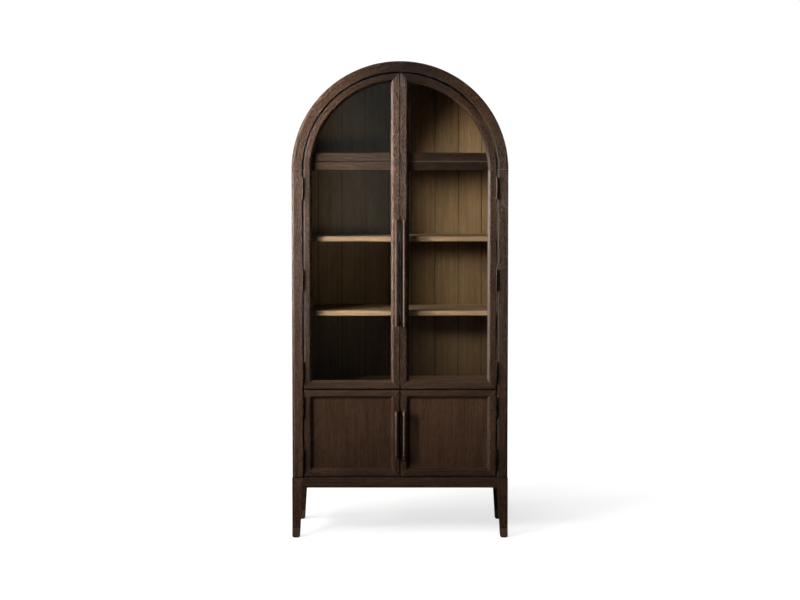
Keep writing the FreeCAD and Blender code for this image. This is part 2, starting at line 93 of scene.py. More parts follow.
def area_light(name, place, target, size, power, colour, spread):
    data = bpy.data.lights.new(name, "AREA")
    data.shape = "RECTANGLE"
    data.size, data.size_y = size
    data.energy = power
    data.color = colour
    data.spread = math.radians(spread)
    light = bpy.data.objects.new(name, data)
    light.location = place
    look_at(light, target)
    bpy.context.scene.collection.objects.link(light)
    return light


# ---- a small layer over shader nodes -------------------------------------------------
class Shader:
    """One material's node tree, with short calls for the nodes used here."""

    def __init__(self, name):
        self.material = bpy.data.materials.new(name)
        self.material.use_nodes = True
        self.tree = self.material.node_tree
        self.tree.nodes.clear()
        self.out = self.add("ShaderNodeOutputMaterial")
        self.place = self.add("ShaderNodeTexCoord").outputs["Object"]

    def add(self, kind, **settings):
        node = self.tree.nodes.new(kind)
        for key, value in settings.items():
            setattr(node, key, value)
        return node

    def feed(self, socket, value):
        if isinstance(value, bpy.types.NodeSocket):
            self.tree.links.new(value, socket)
        else:
            socket.default_value = value

    def math(self, operation, a, b=0.0):
        node = self.add("ShaderNodeMath", operation=operation)
        self.feed(node.inputs[0], a)
        self.feed(node.inputs[1], b)
        return node.outputs[0]

    def split(self, vector):
        node = self.add("ShaderNodeSeparateXYZ")
        self.feed(node.inputs[0], vector)
        return node.outputs

    def at(self, axis):
        """One coordinate, in metres, of the point being shaded."""
        return self.split(self.place)["xyz".index(axis)]

    def length(self, a, b):
        """Length of the flat vector (a, b)."""
        squares = self.math("ADD", self.math("POWER", a, 2.0), self.math("POWER", b, 2.0))
        return self.math("SQRT", squares)

    def join(self, x, y, z):
        node = self.add("ShaderNodeCombineXYZ")
        for socket, value in zip(node.inputs, (x, y, z)):
            self.feed(socket, value)
        return node.outputs[0]

    def mapping(self, vector, scale=(1, 1, 1), location=(0, 0, 0)):
        node = self.add("ShaderNodeMapping")
        self.feed(node.inputs["Vector"], vector)
        node.inputs["Scale"].default_value = scale
        node.inputs["Location"].default_value = location
        return node.outputs[0]

    def noise(self, vector, scale, detail=3.0, rough=0.55, distortion=0.0):
        node = self.add("ShaderNodeTexNoise")
        self.feed(node.inputs["Vector"], vector)
        node.inputs["Scale"].default_value = scale
        node.inputs["Detail"].default_value = detail
        node.inputs["Roughness"].default_value = rough
        node.inputs["Distortion"].default_value = distortion
        return node.outputs[0]

    def ramp(self, value, stops):
        node = self.add("ShaderNodeValToRGB")
        self.feed(node.inputs[0], value)
        elements = node.color_ramp.elements
        while len(elements) < len(stops):
            elements.new(0.5)
        for element, (position, colour) in zip(elements, stops):
            element.position = position
            element.color = (*colour, 1)
        return node.outputs[0]

    def span(self, value, low, high, to_low=0.0, to_high=1.0):
        """Take the range low to high smoothly to the range to_low to to_high, and hold its ends."""
        node = self.add("ShaderNodeMapRange", interpolation_type="SMOOTHSTEP")
        self.feed(node.inputs["Value"], value)
        limits = {"From Min": low, "From Max": high, "To Min": to_low, "To Max": to_high}
        for key, limit in limits.items():
            node.inputs[key].default_value = limit
        return node.outputs[0]

    def blend(self, factor, a, b, kind="MIX"):
        node = self.add("ShaderNodeMix", data_type="RGBA", blend_type=kind)
        self.feed(node.inputs["Factor"], factor)
        for socket, value in ((node.inputs[6], a), (node.inputs[7], b)):
            self.feed(socket, (*value, 1) if isinstance(value, tuple) else value)
        return node.outputs[2]

    def scale(self, colour, share):
        """A colour times a plain number."""
        return self.blend(1.0, colour, self.join(share, share, share), "MULTIPLY")

    def bump(self, height, distance, strength=1.0):
        node = self.add("ShaderNodeBump")
        self.feed(node.inputs["Height"], height)
        node.inputs["Distance"].default_value = distance
        node.inputs["Strength"].default_value = strength
        return node.outputs[0]

    def principled(self, colour, roughness, normal, metallic=0.0, gloss=0.5):
        node = self.add("ShaderNodeBsdfPrincipled")
        self.feed(node.inputs["Base Color"], colour)
        self.feed(node.inputs["Roughness"], roughness)
        self.feed(node.inputs["Normal"], normal)
        node.inputs["Metallic"].default_value = metallic
        node.inputs["Specular IOR Level"].default_value = gloss
        self.tree.links.new(node.outputs[0], self.out.inputs["Surface"])
        return self.material


# ---- oak -----------------------------------------------------------------------------
def grain_space(shader, direction):
    """Coordinates in metres: across the grain, across it again, and along it.

    The grain runs along x, y or z, or round the arch.
    """
    x, y, z = shader.split(shader.place)
    if direction == "z":
        return shader.join(x, y, z)
    if direction == "x":
        return shader.join(z, y, x)
    if direction == "y":
        return shader.join(x, z, y)
    rise = shader.math("SUBTRACT", z, SPRING_Z)
    turn = shader.math("ARCTAN2", rise, x)
    return shader.join(shader.length(x, rise), y, shader.math("MULTIPLY", turn, CASE_HALF))


SWAY_SCALE = 9.0             # slow wander of the grain
CLOUD_SCALE = 6.0            # slow change of shade
PORE_SCALE = 620.0
PORE_ROUGH = 0.14            # pores are rougher than the wood by this
PORE_DEPTH = 0.25            # as a share of the relief
BAND_STOPS = (0.34, 0.50, 0.66)                 # levels of noise for the deep, middle and pale wood
RIDGE_RANGE = (0.44, 0.58)   # levels of noise over which a ridge, pore, fleck or cloud comes in
PORE_RANGE = (0.53, 0.62)
FLECK_RANGE = (0.40, 0.58)
CLOUD_RANGE = (0.3, 0.7)
CLOUD_SHADE = (0.86, 1.12)


def oak_layers(shader, space, tone, seed):
    """Colour, roughness and height of oak with growth bands, pores and brushed ridges."""
    rng = random.Random(seed)
    offset = [rng.uniform(-20, 20) for _ in range(3)]
    here = shader.mapping(space, location=offset)
    sway = shader.noise(shader.mapping(here, scale=(1, 1, 0.25)), SWAY_SCALE, 2.0, 0.5)
    drift = shader.math("MULTIPLY", shader.math("SUBTRACT", sway, 0.5), tone["figure"])
    across, deep, along = shader.split(here)
    bent = shader.join(shader.math("ADD", across, drift), shader.math("ADD", deep, drift), along)
    band_space = shader.mapping(bent, scale=(1, 1, tone["band_run"]))
    bands = shader.noise(band_space, tone["bands"], 3.0, 0.62, 0.3)
    ridge_space = shader.mapping(bent, scale=(1, 1, tone["ridge_run"]))
    ridges = shader.noise(ridge_space, tone["ridges"], 4.0, 0.68, 0.25)
    pores = shader.noise(shader.mapping(bent, scale=(1, 1, 0.05)), PORE_SCALE, 2.0, 0.5)
    cloud = shader.noise(shader.mapping(here, scale=(1, 1, 0.3)), CLOUD_SCALE, 2.0, 0.5)
    base = shader.ramp(bands, list(zip(BAND_STOPS, (tone["deep"], tone["mid"], tone["pale"]))))
    ridge_light = shader.span(ridges, *RIDGE_RANGE)
    colour = shader.blend(shader.math("MULTIPLY", ridge_light, tone["ridge_mix"]), base, tone["ridge"])
    pore_mask = shader.span(pores, *PORE_RANGE)
    flecks = shader.noise(shader.mapping(bent, scale=(1, 1, tone["fleck_run"])), tone["flecks"], 2.0, 0.6)
    calm = shader.span(shader.at("z"), *CALM_RANGE, CALM_SHARE, 1.0)
    contrast = shader.span(flecks, *FLECK_RANGE, -tone["fleck_mix"], tone["fleck_mix"])
    speckle = shader.math("MULTIPLY", contrast, calm)
    colour = shader.scale(colour, shader.math("ADD", speckle, 1.0))
    colour = shader.blend(shader.math("MULTIPLY", pore_mask, tone["pore_mix"]), colour, tone["pore"])
    shade = shader.span(cloud, *CLOUD_RANGE, *(share * tone["gain"] for share in CLOUD_SHADE))
    colour = shader.scale(colour, shade)
    rough = shader.math("ADD", shader.math("MULTIPLY", pore_mask, PORE_ROUGH), tone["rough"])
    height = shader.math("SUBTRACT", ridges, shader.math("MULTIPLY", pore_mask, PORE_DEPTH))
    return colour, rough, height


# Tones of oak. A run under 1 stretches the noise along the grain; bands, ridges and flecks are noise scales.
DARK = {
    "deep": (0.046, 0.0220, 0.0117), "mid": (0.062, 0.0310, 0.0168), "pale": (0.082, 0.0425, 0.0240),
    "ridge": (0.125, 0.070, 0.045), "ridge_mix": 0.32, "pore": (0.014, 0.007, 0.0040), "pore_mix": 0.55,
    "rough": 0.33, "gain": 1.0, "figure": 0.010, "bands": 90.0, "band_run": 0.05, "ridges": 150.0,
    "ridge_run": 0.22, "relief": 2.2 * MM, "flecks": 290.0, "fleck_run": 0.25, "fleck_mix": 0.75,
}
STRAIGHT = {
    **DARK, "band_run": 0.02, "ridge_run": 0.05, "fleck_run": 0.04, "fleck_mix": 0.40, "relief": 1.0 * MM,
}
VENEER = {
    **DARK, "bands": 110.0, "band_run": 0.025, "ridges": 240.0, "ridge_run": 0.08, "relief": 0.35 * MM,
    "figure": 0.004, "ridge_mix": 0.18, "fleck_run": 0.06, "fleck_mix": 0.12,
}
NATURAL = {
    "deep": (0.300, 0.185, 0.095), "mid": (0.350, 0.222, 0.118), "pale": (0.400, 0.262, 0.148),
    "ridge": (0.430, 0.290, 0.168), "ridge_mix": 0.25, "pore": (0.170, 0.098, 0.048), "pore_mix": 0.35,
    "rough": 0.48, "gain": 1.0, "figure": 0.010, "bands": 62.0, "band_run": 0.02, "ridges": 230.0,
    "ridge_run": 0.08, "relief": 0.25 * MM, "flecks": 260.0, "fleck_run": 0.05, "fleck_mix": 0.08,
}
INNER = {
    **NATURAL, "deep": (0.262, 0.160, 0.076), "mid": (0.292, 0.182, 0.088),
    "pale": (0.330, 0.211, 0.106), "ridge": (0.340, 0.219, 0.114),
}
BRUSHED = {**DARK, "ridge_mix": 0.55, "fleck_mix": 1.0, "relief": 3.4 * MM}      # upper meeting stiles

GLOSS = 0.38                 # level of the specular layer
CALM_GLOSS = 0.20            # where the key light would otherwise grey the wood
CASE_GLOSS = 0.26
INSIDE_GAIN = 0.80           # the back and sides are a shade deeper than the shelves
SHELF_TOP_SHADE = 0.60        # painted shade on the top of a shelf, behind its lit front edge
SHELF_EDGE_SPAN = (0.8 * MM, 2.0 * MM)
CALM_SHARE = 0.35            # speckle left near the floor, where the brushing is finer
CALM_RANGE = (0.6, 1.4)      # heights between which it comes back
CROWN_PAINTED_SHADE = 0.23           # painted shade on curved boards, at the crown
CROWN_FADE = (0.02, CASE_HALF * 0.8)            # sideways from the crown, where that shade dies away
FOOT_Z = 0.45                # painted light: face stiles lighter towards the floor, and lightest from here down
FOOT_PAINTED_LIGHT = {"face_stile_left": (1.95, 1.0), "face_stile_right": (1.55, 1.9)}      # gain, and height of its end
JOINT_HALF = 2.8 * MM        # half the width of the dark line where two boards meet
JOINT_SHADE = 0.12
EDGE_REACH = 3.1 * MM        # reach of the painted shade along the gap round the doors
PAINTED_GAP_SHADE = 0.05
END_ARRIS = (1.0 * MM, 2.8 * MM)                # painted shade in the gap at a door's ends, from full shade to none
# width of the painted shade in the gap between two doors
MEETING_ARRIS = {"upper": 1.4 * MM, "lower": 2.4 * MM}
# Painted highlights: pale lines where arrises, bevels, outlines and seams catch the key light from the left.
HIGHLIGHT_COLOUR = (0.215, 0.165, 0.135)
HIGHLIGHT_SHARE = 0.80
HIGHLIGHT_TOP = (0.12, 0.32)      # heights above the spring line between which the painted highlight dies away
HIGHLIGHT_TOP_SHARE = 0.15
LIT_EDGES = ("upper_left_hinge_stile", "upper_left_arch_rail", "face_arch_right", "face_stile_right")
HIGHLIGHT_SOFT = 1.0 * MM         # either side of the edge of a painted highlight line
HIGHLIGHT_BY_GAP = (4.2 * MM, 7.2 * MM)              # from and to, off the gap round the doors
LIT_OUTLINES = ("face_stile_left", "face_arch_left")
HIGHLIGHT_BY_OUTLINE = (8.0 * MM, 12.5 * MM)         # from and to, in from the outline
SIGHT_WIDTH = (7 * MM, 11 * MM)                 # bevel towards the glass, from full painted highlight to none
SIGHT_HIGHLIGHT = {"upper_right_hinge_stile": 0.45, "upper_left_meeting_stile": 0.22}
SEAM_HIGHLIGHT = 0.60
SEAM_RISE = (1.0 * MM, 3.0 * MM)                # painted highlight beside the dark line of a joint
SEAM_FALL = (4.0 * MM, 6.0 * MM)
MITRE_HIGHLIGHT = 0.30
MITRE_WIDTH = (0.8 * MM, 2.6 * MM)
PULL_SHADOW_SHADE = 0.12           # painted shadow of the pulls on the wood between them
PULL_SHADOW_WIDTH = (9 * MM, 15 * MM)
PULL_SHADOW_ENDS = (-4 * MM, 8 * MM)                  # in from the end of a pull, from none to full
# painted shadow cast into a panel's recess by the rail above and the stile to its left
RECESS_PAINTED_SHADOW = 0.30
RECESS_WIDTH = (3 * MM, 9 * MM)
BEAM_SHADE = 0.42            # the cross boards darken to this towards the right
BEAM_FADE_X = (-0.2, 0.2)
BEAM_SEAM_HIGHLIGHT = 0.45
BEAM_SEAM_WIDTH = (2.0 * MM, 4.5 * MM)
BEAM_SEAM_X = (0.0, 0.1)     # the painted highlight beside the seam of the cross boards comes in over this stretch
GROOVE_DEPTH = (0.2 * MM, 1.6 * MM)
GROOVE_SHADE = 0.16          # dirt and shadow down in the V between two back boards
BOARD_MIDDLE = 6 * MM        # about half the thickness of the back boards
SKIN = 0.5 * MM              # how far past an inner face its tone reaches
STAINED_EDGE = 3.5 * MM      # how far back the stain of the fronts of cross boards and decks goes


def oak(node, direction, tone, seed, gain=1.0, joint=None):
    """Solid oak of one tone; joint(shader) is the distance from a glue line that shows.

    Curved members get painted shade towards the crown.
    """
    shader = Shader(f"oak_{node}")
    space = grain_space(shader, direction)
    colour, rough, height = oak_layers(shader, space, {**tone, "gain": gain}, seed)
    # painted shade on a shelf's top behind its front edge
    if node.startswith("shelf"):
        depth = shader.math("SUBTRACT", shader.at("y"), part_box(node)[0].y)
        colour = shader.scale(colour, shader.span(depth, *SHELF_EDGE_SPAN, 1.0, SHELF_TOP_SHADE))
    if joint:
        colour = shader.scale(colour, joint_line(shader, joint))
    # painted light, lighter towards the floor
    if node in FOOT_PAINTED_LIGHT:
        foot_light, reach = FOOT_PAINTED_LIGHT[node]
        colour = shader.scale(colour, shader.span(shader.at("z"), FOOT_Z, reach, foot_light, 1.0))
    # painted shade along the gap between the doors and the frame
    if node.startswith("face") or node.endswith(("arch_rail", "hinge_stile")):
        near, far = GAP_HALF + EDGE_REACH * 0.6, GAP_HALF + EDGE_REACH * 1.4
        colour = shader.scale(colour, shader.span(off_door_gap(shader), near, far, PAINTED_GAP_SHADE, 1.0))
    # painted shade in a door's gaps and under its pulls, painted highlights on its mitres
    if node.startswith(("upper", "lower")) and node.endswith(("stile", "rail")):
        colour = painted_door_light(shader, node, colour)
    # painted shadow in the panel's recess
    if node.endswith("panel"):
        colour = painted_recess_shadow(shader, node, colour)
    # painted highlights on the edges of this node that catch the key light
    colour = painted_highlights(shader, node, colour)
    # painted shade, darker towards the crown
    if direction == "arch":
        off_crown = shader.math("ABSOLUTE", shader.at("x"))
        colour = shader.scale(colour, shader.span(off_crown, *CROWN_FADE, CROWN_PAINTED_SHADE, 1.0))
    calm = direction == "arch" or node.endswith("meeting_stile") or node == "upper_right_hinge_stile"
    normal = shader.bump(height, tone["relief"])
    return shader.principled(colour, rough, normal, gloss=CALM_GLOSS if calm else GLOSS)


def joint_line(shader, joint):
    """Share of its colour that wood keeps on the dark line where two boards meet."""
    return shader.span(joint(shader), JOINT_HALF * 0.5, JOINT_HALF * 1.5, JOINT_SHADE, 1.0)


def painted_highlights(shader, node, colour):
    """Paint highlights on the arrises, outline, bevels and seams of this node that catch the key light."""
    # painted highlight on the bevel that faces the key light
    if node in SIGHT_HIGHLIGHT:
        off_sight = shader.math("SUBTRACT", shader.at("x"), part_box(node)[0].x)
        pale = shader.span(off_sight, *SIGHT_WIDTH, SIGHT_HIGHLIGHT[node], 0.0)
        colour = shader.blend(pale, colour, HIGHLIGHT_COLOUR)
    if node in LIT_EDGES:
        off_gap = shader.math("SUBTRACT", off_door_gap(shader), GAP_HALF)
        colour = shader.blend(highlight_line(shader, off_gap, *HIGHLIGHT_BY_GAP), colour, HIGHLIGHT_COLOUR)
    if node in LIT_OUTLINES:
        depth = shader.math("SUBTRACT", CASE_HALF, off_axis(shader))
        colour = shader.blend(highlight_line(shader, depth, *HIGHLIGHT_BY_OUTLINE), colour, HIGHLIGHT_COLOUR)
    # painted highlight beside the seams of the face arches
    if node.startswith("face_arch"):
        seam = off_crown_or_spring(shader) if node.endswith("right") else off_spring_line(shader)
        rise = shader.span(seam, *SEAM_RISE)
        fall = shader.span(seam, *SEAM_FALL, SEAM_HIGHLIGHT, 0.0)
        colour = shader.blend(shader.math("MULTIPLY", rise, fall), colour, HIGHLIGHT_COLOUR)
    return colour


def painted_door_light(shader, node, colour):
    """Paint shade in the gaps at a door's ends and middle and the shadow of its pulls between them, and paint
    highlights on its mitres.
    """
    level, side, _ = node.split("_", 2)
    door = f"{level}_{side}"
    low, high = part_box(f"{door}_hinge_stile")
    x, _, z = shader.split(shader.place)
    across = shader.math("ABSOLUTE", x)
    off_end = shader.math("SUBTRACT", z, low.z)
    if level == "lower":
        off_end = shader.math("MINIMUM", off_end, shader.math("SUBTRACT", high.z, z))
    off_middle = shader.math("SUBTRACT", across, MEETING_EDGE)
    off_side = shader.math("MINIMUM", off_middle, shader.math("SUBTRACT", DOOR_EDGE, across))
    colour = shader.scale(colour, shader.span(off_end, *END_ARRIS, PAINTED_GAP_SHADE, 1.0))
    width = MEETING_ARRIS[level]
    colour = shader.scale(colour, shader.span(off_middle, width * 0.4, width, PAINTED_GAP_SHADE, 1.0))
    # painted highlight along the mitres
    mitre = shader.math("ABSOLUTE", shader.math("SUBTRACT", off_side, off_end))
    colour = shader.blend(shader.span(mitre, *MITRE_WIDTH, MITRE_HIGHLIGHT, 0.0), colour, HIGHLIGHT_COLOUR)
    if "meeting" in node:
        # painted shadow of the pulls on the meeting stiles between them
        below, above = (v.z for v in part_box(f"{door}_pull"))
        beside = shader.span(across, *PULL_SHADOW_WIDTH, 1.0, 0.0)
        outer, inner = PULL_SHADOW_ENDS
        over = shader.span(z, below + outer, below + inner)
        under = shader.span(z, above - inner, above - outer, 1.0, 0.0)
        pull_shadow = shader.math("MULTIPLY", shader.math("MULTIPLY", over, under), beside)
        colour = shader.scale(colour, shader.span(pull_shadow, 0.0, 1.0, 1.0, PULL_SHADOW_SHADE))
    return colour


def painted_recess_shadow(shader, node, colour):
    """Painted shadow along the top and left of a panel's recess, where the rail and stile shade it."""
    level, side, _ = node.split("_")
    left = "hinge_stile" if side == "left" else "meeting_stile"
    x, _, z = shader.split(shader.place)
    off_left = shader.math("SUBTRACT", x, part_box(f"{level}_{side}_{left}")[1].x)
    off_top = shader.math("SUBTRACT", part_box(f"{level}_{side}_top_rail")[0].z, z)
    for distance in (off_left, off_top):
        colour = shader.scale(colour, shader.span(distance, *RECESS_WIDTH, RECESS_PAINTED_SHADOW, 1.0))
    return colour


def highlight_line(shader, distance, near, far):
    """Share of the painted highlight colour: full between the distances near and far, and less towards the
    crown.
    """
    rise = shader.span(distance, near - HIGHLIGHT_SOFT, near + HIGHLIGHT_SOFT, 0.0, HIGHLIGHT_SHARE)
    fall = shader.span(distance, far - HIGHLIGHT_SOFT, far + HIGHLIGHT_SOFT, HIGHLIGHT_SHARE, 0.0)
    above_spring = shader.math("SUBTRACT", shader.at("z"), SPRING_Z)
    lasting = shader.span(above_spring, *HIGHLIGHT_TOP, 1.0, HIGHLIGHT_TOP_SHARE)
    return shader.math("MULTIPLY", shader.math("MINIMUM", rise, fall), lasting)


def two_tone_oak(node, direction, seed, inside):
    """Stained outside and natural inside; inside(shader) is 1 on the natural faces."""
    shader = Shader(f"oak_{node}")
    space = grain_space(shader, direction)
    mask = inside(shader)
    tone = STRAIGHT if node.startswith("cross_board") else DARK
    outer, outer_rough, outer_height = oak_layers(shader, space, tone, seed)
    inner, _, inner_height = oak_layers(shader, space, {**INNER, "gain": INSIDE_GAIN}, seed + 1)
    colour = shader.blend(mask, outer, inner)
    if node.startswith("cross_board"):
        x = shader.at("x")
        colour = shader.scale(colour, shader.span(x, *BEAM_FADE_X, 1.0, BEAM_SHADE))
        colour = shader.scale(colour, joint_line(shader, off_beam_joint))
        # painted highlight beside the joint of the cross boards
        beside = shader.span(off_beam_joint(shader), *BEAM_SEAM_WIDTH, BEAM_SEAM_HIGHLIGHT, 0.0)
        pale = shader.math("MULTIPLY", shader.span(x, *BEAM_SEAM_X), beside)
        colour = shader.blend(pale, colour, HIGHLIGHT_COLOUR)
    if node == "back_boards":
        depth = shader.math("SUBTRACT", shader.at("y"), BACK_BOARD_Y)
        groove = shader.span(depth, *GROOVE_DEPTH, 1.0, GROOVE_SHADE)
        behind = shader.math("GREATER_THAN", depth, BOARD_MIDDLE)
        colour = shader.scale(colour, shader.math("MAXIMUM", groove, behind))
    brushed = shader.math("MULTIPLY", outer_height, shader.math("SUBTRACT", 1.0, mask))
    smooth = shader.math("MULTIPLY", inner_height, NATURAL["relief"] / tone["relief"])
    height = shader.math("ADD", brushed, shader.math("MULTIPLY", smooth, mask))
    normal = shader.bump(height, tone["relief"])
    return shader.principled(colour, outer_rough, normal, gloss=CASE_GLOSS)


def inside_sides(shader):
    return shader.math("LESS_THAN", shader.math("ABSOLUTE", shader.at("x")), PANEL_INNER + SKIN)


def inside_roof(shader):
    x, _, z = shader.split(shader.place)
    rise = shader.math("SUBTRACT", z, SPRING_Z)
    return shader.math("LESS_THAN", shader.length(x, rise), PANEL_INNER + SKIN)


def behind_front(shader):
    stain_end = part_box("cross_board_lower")[0].y + STAINED_EDGE
    return shader.math("GREATER_THAN", shader.at("y"), stain_end)


def front_of_back(shader):
    return shader.math("LESS_THAN", shader.at("y"), BACK_BOARD_Y + BOARD_MIDDLE)


def off_height(shader, level):
    return shader.math("ABSOLUTE", shader.math("SUBTRACT", shader.at("z"), level))


def off_spring_line(shader):
    return off_height(shader, SPRING_Z)


def off_stile_ends(shader):
    """Distance from the spring line or from the joint between stile and leg, whichever is nearer."""
    foot = off_height(shader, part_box("leg_front_left")[1].z)
    return shader.math("MINIMUM", foot, off_spring_line(shader))


def off_beam_joint(shader):
    return off_height(shader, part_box("cross_board_lower")[1].z)


def off_axis(shader):
    """Distance from the middle: sideways below the spring line, along the radius above it."""
    x, _, z = shader.split(shader.place)
    rise = shader.math("MAXIMUM", shader.math("SUBTRACT", z, SPRING_Z), 0.0)
    return shader.length(x, rise)


def off_door_gap(shader):
    """Distance from the middle of the gap between the doors and the frame round them."""
    return shader.math("ABSOLUTE", shader.math("SUBTRACT", off_axis(shader), GAP_MIDDLE))


def off_crown_or_spring(shader):
    return shader.math("MINIMUM", shader.math("ABSOLUTE", shader.at("x")), off_spring_line(shader))


# ---- metals, glass, plastic ----------------------------------------------------------
PATINA_SCALE = 60.0
PATINA_STOPS = (0.35, 0.68)
PATINA_ROUGH = 0.22          # spread of the roughness over the patina
BRUSH_SCALE = 1500.0
BRUSH_RUN = 0.02
BRUSH_DEPTH = 0.03 * MM


def aged_metal(name, deep, bright, direction, roughness, metallic=1.0):
    """Brushed metal: darker patina in clouds, fine brushing along the piece."""
    shader = Shader(name)
    space = grain_space(shader, direction)
    patina = shader.noise(space, PATINA_SCALE, 4.0, 0.6)
    brushing = shader.noise(shader.mapping(space, scale=(1, 1, BRUSH_RUN)), BRUSH_SCALE, 2.0, 0.5)
    colour = shader.ramp(patina, list(zip(PATINA_STOPS, (deep, bright))))
    rough = shader.math("ADD", shader.math("MULTIPLY", patina, PATINA_ROUGH), roughness - PATINA_ROUGH / 2)
    normal = shader.bump(brushing, BRUSH_DEPTH, 0.35)
    return shader.principled(colour, rough, normal, metallic=metallic)


GLASS_MIRROR = 0.04          # share mirrored by one face of the glass, seen square on
GLASS_TINT = (0.965, 0.975, 0.97, 1)
GLASS_ROUGH = 0.03


def clear_glass(name):
    """Thin pane: mostly clear, mirroring more at a slant on both of its faces alike."""
    shader = Shader(name)
    clear = shader.add("ShaderNodeBsdfTransparent")
    clear.inputs[0].default_value = GLASS_TINT
    gloss = shader.add("ShaderNodeBsdfGlossy")
    gloss.inputs["Roughness"].default_value = GLASS_ROUGH
    gloss.inputs["Color"].default_value = WHITE
    facing = shader.add("ShaderNodeLayerWeight").outputs["Facing"]
    slant = shader.math("POWER", facing, 5.0)
    mirror = shader.math("ADD", shader.math("MULTIPLY", slant, 1 - GLASS_MIRROR), GLASS_MIRROR)
    mix = shader.add("ShaderNodeMixShader")
    for socket, value in zip(mix.inputs, (mirror, clear.outputs[0], gloss.outputs[0])):
        shader.feed(socket, value)
    shader.tree.links.new(mix.outputs[0], shader.out.inputs["Surface"])
    return shader.material


def plain_plastic(name, colour):
    shader = Shader(name)
    grit = shader.noise(shader.place, 900.0, 2.0)
    tint = shader.ramp(grit, [(0.3, tuple(c * 0.85 for c in colour)), (0.7, tuple(c * 1.15 for c in colour))])
    return shader.principled(tint, 0.55, shader.bump(grit, 0.05 * MM, 0.4))


# ---- dressing the CAD nodes ----------------------------------------------------------
WELD_DISTANCE = 0.01 * MM
EDGE_ANGLE = 32.0            # sharper edges than this are softened
SOFT_EDGE = 0.6 * MM


def dress(node, material, bevel=0.0):
    """Give a CAD node its material and, if asked, a softened edge."""
    obj = NODES[node]
    obj.data.materials.clear()
    obj.data.materials.append(material)
    if bevel:
        weld = obj.modifiers.new("weld", "WELD")
        weld.merge_threshold = WELD_DISTANCE
        edge = obj.modifiers.new("edge", "BEVEL")
        edge.width = bevel
        edge.segments = 2
        edge.limit_method = "ANGLE"
        edge.angle_limit = math.radians(EDGE_ANGLE)
        edge.harden_normals = True


GRAIN_OF = (
    ("arch_rail", "arch"), ("face_arch", "arch"), ("top_rail", "x"), ("bottom_rail", "x"), ("apron_front", "x"),
    ("apron_back", "x"), ("shelf", "x"), ("deck", "x"), ("back_batten", "x"), ("apron_left", "y"),
    ("apron_right", "y"),
)
# Painted light and shade: how much lighter or darker than the tone each piece is made, lighter on the left, on
# the shelves and low down, darker on the right, for how the lamps fall; the rest are as they come.
PAINTED_LIGHT_GAIN = {
    "face_arch_left": 1.12, "face_arch_right": 0.68, "face_stile_left": 0.94, "face_stile_right": 0.70,
    "upper_left_arch_rail": 0.90, "upper_right_arch_rail": 0.68, "upper_left_hinge_stile": 0.82,
    "upper_right_hinge_stile": 0.68, "upper_left_meeting_stile": 1.08, "upper_right_meeting_stile": 0.72,
    "lower_left_panel": 1.3, "lower_right_panel": 1.45, "shelf_lower": 1.75, "shelf_upper": 1.20,
    "apron_front": 1.15, "leg_front_left": 2.1, "leg_front_right": 1.5, "leg_back_left": 1.4,
    "leg_back_right": 1.3,
}


def grain_of(node):
    for part, direction in GRAIN_OF:
        if part in node:
            return direction
    return "z"


TWO_TONE = (
    ("side_panel", "z", inside_sides), ("roof_arch", "arch", inside_roof), ("back_boards", "z", front_of_back),
    ("cross_board", "x", behind_front), ("case_bottom", "x", behind_front), ("middle_deck", "x", behind_front),
)


def wood_of(node, slot, seed, gain):
    """The oak of one node: its cut, its tone and the joints that show on it."""
    for start, direction, inside in TWO_TONE:
        if node.startswith(start):
            return two_tone_oak(node, direction, seed, inside)
    direction = grain_of(node)
    tone, joint = DARK, None
    if node.startswith("face_"):
        joint = off_crown_or_spring if "arch" in node else off_stile_ends
    elif node.startswith("leg_front"):
        joint = off_stile_ends
    elif node.startswith("lower") and node.endswith("panel"):
        tone = VENEER
    elif node.startswith("upper") and node.endswith("meeting_stile"):
        tone = BRUSHED
    elif slot == "natural_oak" and node != "back_batten":
        tone = NATURAL
    elif direction == "x":
        tone = STRAIGHT
    return oak(node, direction, tone, seed, gain, joint)


GAIN_SPREAD = (0.92, 1.08)   # no two boards are quite the same


def dress_wood():
    slots = {entry["node"]: entry["material_slot"] for entry in frame["record"]["subparts"]}
    wooden = sorted(node for node, slot in slots.items() if slot in ("dark_oak", "natural_oak"))
    for seed, node in enumerate(wooden):
        # random spread of tone times the painted light and shade of the piece
        gain = random.Random(seed + 100).uniform(*GAIN_SPREAD) * PAINTED_LIGHT_GAIN.get(node, 1.0)
        dress(node, wood_of(node, slots[node], seed, gain), SOFT_EDGE)


def dress_rest():
    nickel = aged_metal("nickel", (0.45, 0.44, 0.42), (0.62, 0.61, 0.59), "x", 0.28)
    pull_metal = aged_metal("copper_bronze", (0.118, 0.070, 0.050), (0.200, 0.126, 0.092), "z", 0.47)
    ferrule_metal = aged_metal(
        "ferrule_bronze", (0.225, 0.132, 0.085), (0.325, 0.201, 0.132), "z", 0.50, metallic=0.30)
    hinge_metal = aged_metal("hinge_bronze", (0.050, 0.036, 0.027), (0.105, 0.074, 0.055), "z", 0.30)
    looks = {
        "ferrule_bronze": (ferrule_metal, 0.7 * MM),
        "hinge_bronze": (hinge_metal, 0.0),
        "nickel": (nickel, 0.0),
        "clear_glass": (clear_glass("clear_glass"), 0.0),
        "catch_plastic": (plain_plastic("catch_plastic", (0.055, 0.040, 0.030)), SOFT_EDGE),
    }
    for entry in frame["record"]["subparts"]:
        if entry["material_slot"] in looks:
            dress(entry["node"], *looks[entry["material_slot"]])
    small_metal(pull_metal, nickel)


